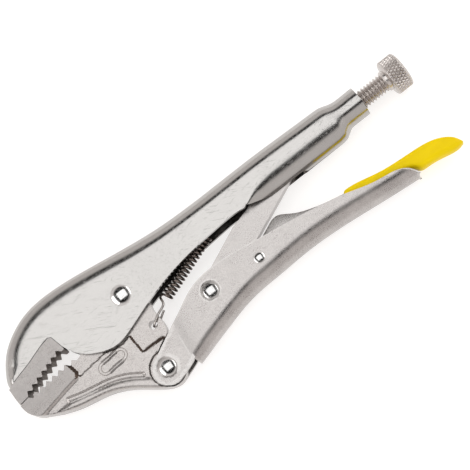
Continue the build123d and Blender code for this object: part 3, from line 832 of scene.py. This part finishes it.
def cheek(side):
    """Flat wall round the heel of the lower jaw."""
    loop = np.concatenate([
        arc(HEEL_CENTRE, CHEEK_R, 117.7, 290.0, 0.5),
        curve([(-0.6, -46.12), (3.5, -44.8), (7.7, -43.3), (9.4, -42.5)], 0.6)[1:],
        straight([(9.4, -42.5), (9.8, -38.5), (14.0, -36.5), (14.0, -23.3), (10.0, -24.7), (-6.37, -33.07)],
                 0.6)[1:-1]])
    circle = [ring(HANDLE_PIVOT, r, 56) for r in (DIMPLE_R, DIMPLE_R - 0.28, DIMPLE_R - DIMPLE_LIP)]

    def level(points, inner):
        """A little over the shell's front end, and sinking into its wall behind that."""
        under = np.interp(points[:, 0], [9.8, 14.0], [-0.04, 0.14])
        base = lower_half(np.clip(points[:, 0], 0, 20)) - (SHEET - under if inner else under)
        distance = np.linalg.norm(points - np.array(HANDLE_PIVOT), axis=1)
        return side * (base - 0.6 * smoothstep((DIMPLE_R - distance) / DIMPLE_LIP))

    return slab(loop, lambda p: level(p, False), lambda p: level(p, True), spacing=1.2, extra=circle)


piece("lower_handle_shell", joined(lower_shell(), cheek(1), cheek(-1)), "lower_handle", "lower_handle",
      lower_finish, bevel=0.15, limit=48)


# ---- Toggle link ----
LINK_HALF = 2.5
LINK_END_R = 5.4
LINK_NOSE_R = 5.2


def link_bar():
    """Flat bar with a round eye on the toggle rivet and a round nose at the screw."""
    loop = np.concatenate([
        arc(TOGGLE_PIVOT, LINK_END_R, 110.6, 289.5, 0.5),
        straight([(34.0, -28.5), (62.5, -17.4), (91.0, -5.25)], 1.0)[1:-1],
        arc(LINK_NOSE, LINK_NOSE_R, -66.0, 111.4, 0.5),
        straight([(87.0, 4.35), (66.0, -4.4), (56.9, -6.6), (30.3, -18.4)], 1.0)[1:-1]])
    return slab(loop, LINK_HALF)


piece("toggle_link_bar", link_bar(), "toggle_link", "toggle_link", lower_finish, bevel=0.25)


# ---- Release lever and its sleeve ----
LEVER_HALF = 3.6
LEVER_INSIDE = 2.4


def lever_strip():
    """Narrow folded strip, open below, with rounded upper corners."""
    top = np.concatenate([straight([(54.5, -24.0), (58.5, -20.9), (72.0, -15.1)], 0.8)[:-1],
                          curve([(72.0, -15.1), (75.0, -14.8), (80.0, -17.5), (88.0, -21.5), (105.0, -25.9),
                                 (130.0, -31.5), (147.5, -35.4)], 0.8)])
    low = np.interp(top[:, 0], [54.5, 62, 80, 105, 130, 148], [-29.4, -29.6, -28.2, -29.6, -33.9, -37.4])
    rows = []
    for (x, y), bottom in zip(top, low):
        outer = [(x, y, 0.0), (x, y, 2.7), (x, y - 0.25, 3.35), (x, y - 0.9, LEVER_HALF),
                 (x, bottom, LEVER_HALF)]
        inner = [(x, y - 1.2, 0.0), (x, y - 1.2, 2.0), (x, y - 1.45, 2.3), (x, y - 1.9, LEVER_INSIDE),
                 (x, bottom, LEVER_INSIDE)]
        rows.append(section(outer, inner))
    return ring_solid(np.array(rows))


piece("release_lever_strip", lever_strip(), "release_lever", "release_lever", lower_finish,
      bevel=0.15)


SLEEVE_TOP = curve([(104.0, -26.6), (104.6, -25.3), (107.0, -24.9), (121.0, -27.8), (138.0, -29.8),
                    (147.5, -31.1), (153.5, -33.5), (157.6, -37.2), (159.1, -40.3)], 0.6)
SLEEVE_UNDER = curve([(104.0, -28.6), (105.0, -31.0), (118.0, -32.6), (130.0, -34.6), (135.6, -36.8),
                      (137.0, -38.3), (141.0, -39.1), (150.0, -40.5), (157.0, -41.2), (159.1, -40.6)], 0.6)
SLEEVE_HALF = 4.3
SLEEVE_SIDES = 64


def sleeve():
    """Rounded sections from the front end to the tip, soft below and squarer above."""
    xs = np.concatenate([[104.05, 104.2, 104.5], np.arange(105.0, 158.2, 0.6), [158.4, 158.7, 158.9, 159.0]])
    top = np.interp(xs, SLEEVE_TOP[:, 0], SLEEVE_TOP[:, 1])
    low = np.interp(xs, SLEEVE_UNDER[:, 0], SLEEVE_UNDER[:, 1])
    share = np.interp(xs, [104.05, 104.5, 105.5, 150, 157, 159], [0.8, 0.9, 1.0, 1.0, 0.93, 0.72])
    angle = np.linspace(0, 2 * math.pi, SLEEVE_SIDES, endpoint=False)
    up, out = np.sin(angle), np.cos(angle)
    rows = []
    for x, high, base, half in zip(xs, top, low, SLEEVE_HALF * share):
        centre, tall = (high + base) / 2, (high - base) / 2
        corner = min(1.0, 0.28 + 0.25 / max(tall, 0.5))
        y = centre + tall * np.sign(up) * np.abs(up) ** np.where(up > 0, corner, 0.62)
        z = half * np.sign(out) * np.abs(out) ** np.where(up > 0, 0.32, 0.62)
        rows.append(np.column_stack([np.full(len(y), x), y, z]))
    return tube(rows)


piece("lever_sleeve_grip", sleeve(), "release_lever", "lever_sleeve", sleeve_finish,
      bevel=0.25, segments=3, limit=50)


# ---- Screw, collar and knob ----
THREAD_PITCH = 1.7
THREAD_DEPTH = 1.05
THREAD_START = 2.5
THREAD_END = 0.8
CAP_R = 0.6


def thread(along, angle, radius):
    """A right-hand thread with rounded crests and roots, fading out at both ends."""
    phase = (along / THREAD_PITCH - angle / (2 * math.pi)) % 1.0
    groove = np.clip(1.08 - 2.4 * np.abs(phase - 0.5), 0, 1)
    fade = smoothstep((along - SCREW_TIP_X) / THREAD_START) * smoothstep((COLLAR_X - along) / THREAD_END)
    return radius - THREAD_DEPTH * groove * fade


def screw():
    """Threaded shank from its tip in the tube to the collar."""
    xs = np.arange(SCREW_TIP_X + 0.8, COLLAR_X - 0.05, THREAD_PITCH / 16)
    profile = [(SCREW_TIP_X, CAP_R), (SCREW_TIP_X, SCREW_R - 0.8), *[(v, SCREW_R) for v in xs],
               (COLLAR_X, SCREW_R), (COLLAR_X, CAP_R)]
    return lathe(profile, 72, centre=(0, SCREW_AXIS_Y, 0), shape=thread)


piece("adjusting_screw_shank", screw(), "adjusting_screw", "adjusting_screw", screw_finish)


def collar():
    """Plain round neck between the screw and its knob."""
    end = KNOB_X + 0.2
    profile = [(COLLAR_X, CAP_R), (COLLAR_X, COLLAR_R - 0.45), (COLLAR_X + 0.2, COLLAR_R - 0.12),
               (COLLAR_X + 0.5, COLLAR_R), (end, COLLAR_R), (end, CAP_R)]
    return lathe(profile, 64, centre=(0, SCREW_AXIS_Y, 0))


piece("knob_collar_ring", collar(), "screw_knob", "knob_collar", screw_finish)

KNURLS = 32
KNURL_PITCH = 1.45
KNURL_DEPTH = 0.5


def knurl(along, angle, radius):
    """Crossed grooves that leave rows of diamonds, fading at the rims."""
    turn = angle * KNURLS / (2 * math.pi)
    run = (along - KNOB_X) / KNURL_PITCH
    ridges = [np.abs(2 * ((turn + sign * run / 2) % 1.0) - 1) for sign in (1, -1)]
    height = np.clip(np.minimum(*ridges) * 2.2, 0, 1)
    body = smoothstep((along - KNOB_X - 0.9) / 0.5) * smoothstep((KNOB_END_X - 0.9 - along) / 0.5)
    cut = np.where(radius > KNOB_R - 0.6, (1 - height) * body, 0)
    return radius - KNURL_DEPTH * cut


def knob():
    """Knurled cylinder with the same rounded rim at both ends."""
    start = [(KNOB_X, CAP_R), (KNOB_X, 5.4), (KNOB_X + 0.05, KNOB_R - 1.3), (KNOB_X + 0.25, KNOB_R - 0.75),
             (KNOB_X + 0.6, KNOB_R - 0.25), (KNOB_X + 0.9, KNOB_R)]
    end = [(KNOB_X + KNOB_END_X - x, r) for x, r in reversed(start)]
    xs = np.arange(KNOB_X + 1.0, KNOB_END_X - 1.0, 0.125)
    profile = [*start, *[(v, KNOB_R) for v in xs], *end]
    return lathe(profile, KNURLS * 10, centre=(0, SCREW_AXIS_Y, 0), shape=knurl)


piece("screw_knob_grip", knob(), "screw_knob", "screw_knob", screw_finish)


# ---- Rivets ----
def rivet(node, head_r, rise, base, shank):
    """Heads on both sides of a shank, each a low spherical cap over a narrow rim."""
    lift = 0.15
    ball = (head_r**2 + (rise - lift) ** 2) / (2 * (rise - lift))
    radii = head_r * np.linspace(0.02, 0.985, 14)
    dome = [(base + rise - ball + math.sqrt(ball**2 - r**2), r) for r in radii]
    top = [*dome, (base + lift * 0.6, head_r), (base, head_r), (base - 0.6, shank)]
    profile = top + [(-a, r) for a, r in reversed(top)]
    return lathe(profile, 64, axis="z", centre=place(node))


# Head radius, rise of the head, height of its foot, radius of the shank, and the body it rides on
HEADS = {"jaw_pivot_rivet": (4.75, 1.3, 5.25, 3.0, "upper_handle"),
         "handle_pivot_rivet": (4.0, 1.1, 4.8, 3.0, "lower_handle"),
         "toggle_rivet": (4.0, 1.1, 4.7, 2.75, "lower_handle"),
         "lever_rivet": (2.5, 0.7, 6.9, 1.75, "lower_handle")}
for node, (head_r, rise, base, shank, body) in HEADS.items():
    piece(node + "_heads", rivet(node, head_r, rise, base, shank), body, node, rivet_finish)


# ---- Tension spring ----
COIL_START = np.array((15.0, -12.3, 0.0))
COIL_END = np.array((46.0, -1.75, 0.0))
COIL_R = 2.3
WIRE_R = 0.55
COIL_TURNS = 17
TURN_STEPS = 28
WIRE_SIDES = 10
FRONT_HOOK_END_X = 14.0
FRONT_HOOK = [(10.4, -15.4, -3.3), (8.0, -16.9, -3.4), (4.4, -19.0, -3.4), (3.2, -19.5, -2.4),
              (3.1, -19.6, 0.0), (3.2, -19.5, 2.6), (4.4, -18.9, 3.5), (8.6, -16.4, 3.4), (12.4, -14.1, 2.6)]
REAR_HOOK = [(48.0, -2.2, 1.3), (50.8, 0.0, 1.5), (53.0, 1.6, 1.2), (53.1, 1.7, -1.2), (50.6, 0.8, -1.5)]


def spring():
    """Wire swept along the front hook, the coil and the rear hook."""
    axis = (COIL_END - COIL_START) / np.linalg.norm(COIL_END - COIL_START)
    side = np.array((-axis[1], axis[0], 0.0))
    up = np.array((0.0, 0.0, 1.0))
    angles = np.linspace(0, 2 * math.pi * COIL_TURNS, COIL_TURNS * TURN_STEPS)
    share = (angles / angles[-1])[:, None]
    coil = COIL_START + (COIL_END - COIL_START) * share
    coil = coil + COIL_R * (np.cos(angles)[:, None] * side + np.sin(angles)[:, None] * up)
    front = curve(FRONT_HOOK + [tuple(coil[0] - np.array((1.2, 0.5, -0.9))), tuple(coil[0])], 0.25)
    rear = curve([tuple(coil[-1]), tuple(coil[-1] + np.array((0.6, -0.5, 1.0))), *REAR_HOOK], 0.25)
    path = np.concatenate([front[:-1], coil, rear[1:]])
    tangent = tangents(path)
    normal = np.cross(tangent[0], up)
    angle = np.linspace(0, 2 * math.pi, WIRE_SIDES, endpoint=False)[:, None]
    rows = []
    for spot, way in zip(path, tangent):
        normal = normal - way * (normal @ way)
        normal /= np.linalg.norm(normal)
        other = np.cross(way, normal)
        rows.append(spot + WIRE_R * (np.cos(angle) * normal + np.sin(angle) * other))
    return tube(rows)


def on_front_hook(centre, normal):
    """The front hook keeps the wire's plain steel colour; the coil's wire is made darker as painted shade."""
    return centre.x < FRONT_HOOK_END_X


spring_piece = piece("tension_spring_coil", spring(), None, "tension_spring", shaded_spring_finish,
                     others=[(hook_finish, on_front_hook)])
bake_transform(spring_piece)


# ---- Floor, light and camera ----
FLOOR_HALF = 3.0
FLOOR_DROP = 0.0002


def floor():
    """A pale matt sheet just under the tool, lit a little from within so that it stays near white."""
    corners = [(x * FLOOR_HALF, y * FLOOR_HALF, 0) for x, y in ((-1, -1), (1, -1), (1, 1), (-1, 1))]
    mesh = bpy.data.meshes.new("floor")
    mesh.from_pydata(corners, [], [(0, 1, 2, 3)])
    obj = bpy.data.objects.new("floor", mesh)
    bpy.context.scene.collection.objects.link(obj)
    n = Nodes("pale_floor")
    tone = n.mixed(n.noise(0.01, 2), (0.42, 0.415, 0.410), (0.45, 0.445, 0.440))
    n.link(tone, n.shader.inputs["Base Color"])
    n.shader.inputs["Roughness"].default_value = 0.9
    n.shader.inputs["Emission Color"].default_value = (1.0, 0.985, 0.975, 1)
    n.shader.inputs["Emission Strength"].default_value = 0.72
    mesh.materials.append(n.material)
    obj.location.z = cad_box[0].z - FLOOR_DROP


def area_light(name, way, target, size, strength):
    """A softbox 1 m from the target, size along the tool's length and across it."""
    light = bpy.data.lights.new(name, "AREA")
    light.shape = "RECTANGLE"
    light.size, light.size_y = size
    light.energy = strength
    obj = bpy.data.objects.new(name, light)
    back = Vector(way).normalized()
    side = (Vector((1, 0, 0)) - back * back.x).normalized()
    obj.matrix_world = Matrix((side, back.cross(side), back)).transposed().to_4x4()
    obj.matrix_world.translation = target + back
    bpy.context.scene.collection.objects.link(obj)


floor()
middle_spot = (cad_box[0] + cad_box[1]) / 2
KEY_TURN = math.radians(12)
SIDE_TURN = math.radians(47)
key_way = Vector((0, math.sin(KEY_TURN), math.cos(KEY_TURN)))
area_light("key_softbox", key_way, middle_spot, (0.84, 0.72), 3.3)
for side in (1, -1):
    way = key_way * math.cos(SIDE_TURN) + Vector((side, 0, 0)) * math.sin(SIDE_TURN)
    area_light("side_softbox", way, middle_spot, (0.36, 0.85), 2.2)


def studio_world():
    """Dark about the softboxes, and pale walls from well off their axis down to the floor."""
    world = bpy.data.worlds.new("studio")
    world.use_nodes = True
    tree = world.node_tree
    backdrop = tree.nodes["Background"]
    backdrop.inputs["Color"].default_value = (1.0, 0.955, 0.935, 1)
    way = tree.nodes.new("ShaderNodeTexCoord").outputs["Generated"]
    towards = tree.nodes.new("ShaderNodeVectorMath")
    towards.operation = "DOT_PRODUCT"
    towards.inputs[1].default_value = key_way
    tree.links.new(way, towards.inputs[0])
    shade = tree.nodes.new("ShaderNodeMapRange")
    shade.interpolation_type = "SMOOTHSTEP"
    for key, value in (("From Min", 0.81), ("From Max", 0.69), ("To Min", 0.01), ("To Max", 0.90)):
        shade.inputs[key].default_value = value
    tree.links.new(towards.outputs["Value"], shade.inputs["Value"])
    tree.links.new(shade.outputs["Result"], backdrop.inputs["Strength"])
    bpy.context.scene.world = world


studio_world()

TILT = math.radians(14)
SPIN = math.radians(38.3)
VIEW_DISTANCE = 0.79
LENS = 138
SENSOR = 36
LOOK_AT = (55.7, -10.7, 5.3)
back = Vector((0, -math.sin(TILT), math.cos(TILT)))
along_x = Vector((1, 0, 0))
along_y = Vector((0, math.cos(TILT), math.sin(TILT)))
right = along_x * math.cos(SPIN) - along_y * math.sin(SPIN)
up = along_x * math.sin(SPIN) + along_y * math.cos(SPIN)
camera = bpy.data.objects.new("camera", bpy.data.cameras.new("camera"))
camera.data.lens = LENS
camera.data.sensor_width = SENSOR
camera.matrix_world = Matrix((right, up, back)).transposed().to_4x4()
camera.matrix_world.translation = ORIGIN + Vector(LOOK_AT) * MM + back * VIEW_DISTANCE
bpy.context.scene.collection.objects.link(camera)
bpy.context.scene.camera = camera
bpy.context.scene.view_settings.view_transform = "Standard"
